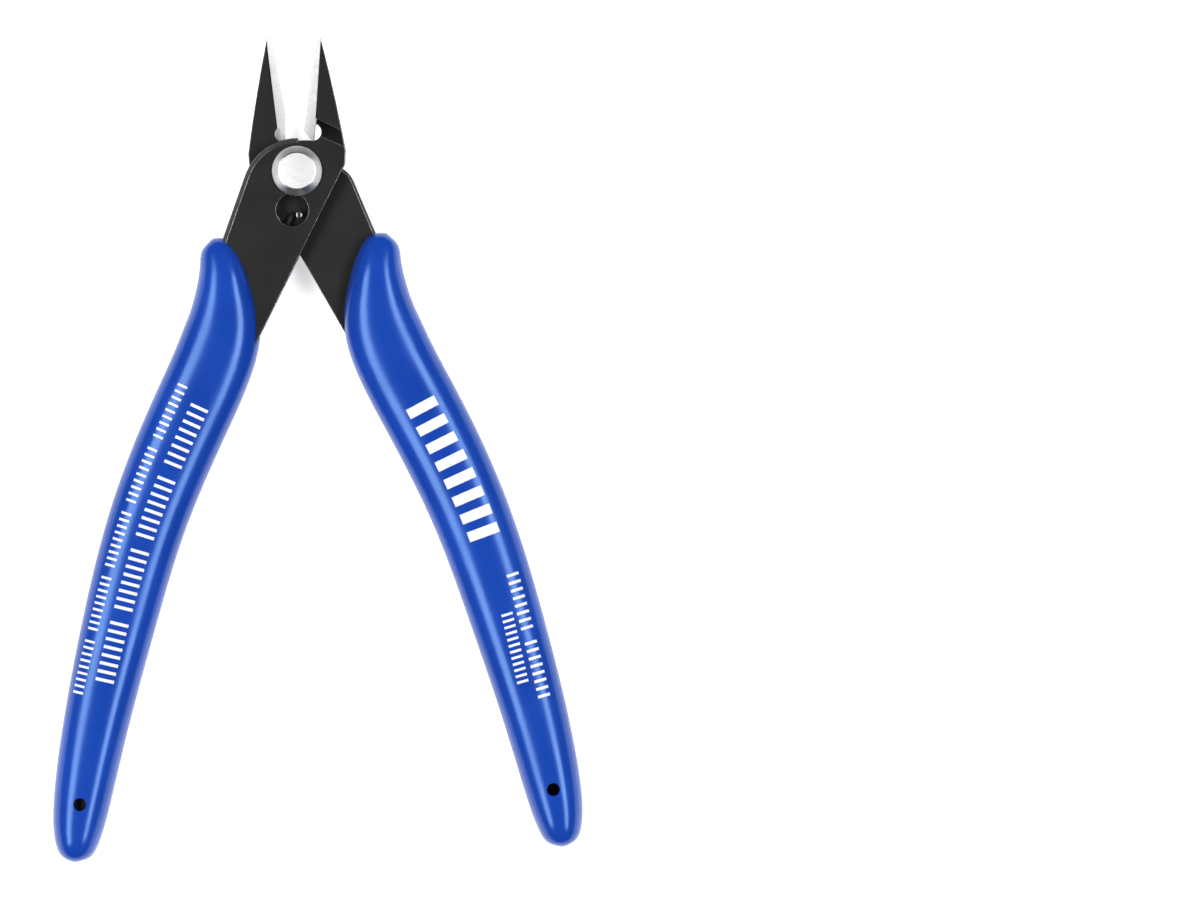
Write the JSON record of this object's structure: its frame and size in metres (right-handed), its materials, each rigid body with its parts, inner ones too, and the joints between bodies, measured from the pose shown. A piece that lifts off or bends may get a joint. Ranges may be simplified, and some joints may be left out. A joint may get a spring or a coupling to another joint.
{
  "type": "flush cutter",
  "caption": "Small flush cutter for electronics: lapped black steel levers on a bright rivet, ground cutting jaws, wire return spring and glossy blue vinyl grips.",
  "frame": {"origin": "on the pivot's axis, at the flat back of the rivet's collar", "axes": "+Z out of the front face, +Y towards the jaws, +X to the side of the front lever's jaw and of the rear lever's handle"},
  "size_m": [0.0822, 0.1274, 0.0095],
  "materials": {
    "blade_steel": "black oxide, satin, with bright ground cutting bevels",
    "rivet_steel": "polished flat, turned bevel",
    "spring_steel": "drawn wire, blackened in oil",
    "grip_vinyl": "glossy dipped vinyl"
  },
  "bodies": {
    "front": {"front_blade": "blade_steel", "left_grip": "grip_vinyl", "pivot_rivet": "rivet_steel", "rivet_collar": "rivet_steel", "return_spring": "spring_steel"},
    "rear": {"rear_blade": "blade_steel", "right_grip": "grip_vinyl", "spring_pin": "rivet_steel"}
  },
  "joints": [
    {"name": "pivot", "type": "hinge", "parent": "front", "child": "rear", "pos_m": [0, 0, 0.00337], "axis": [0, 0, -1], "range_deg": [0, 18.2], "stiffness_Nm_per_rad": 0.18, "springref_deg": -17.19, "deforming": ["return_spring"]}
  ]
}
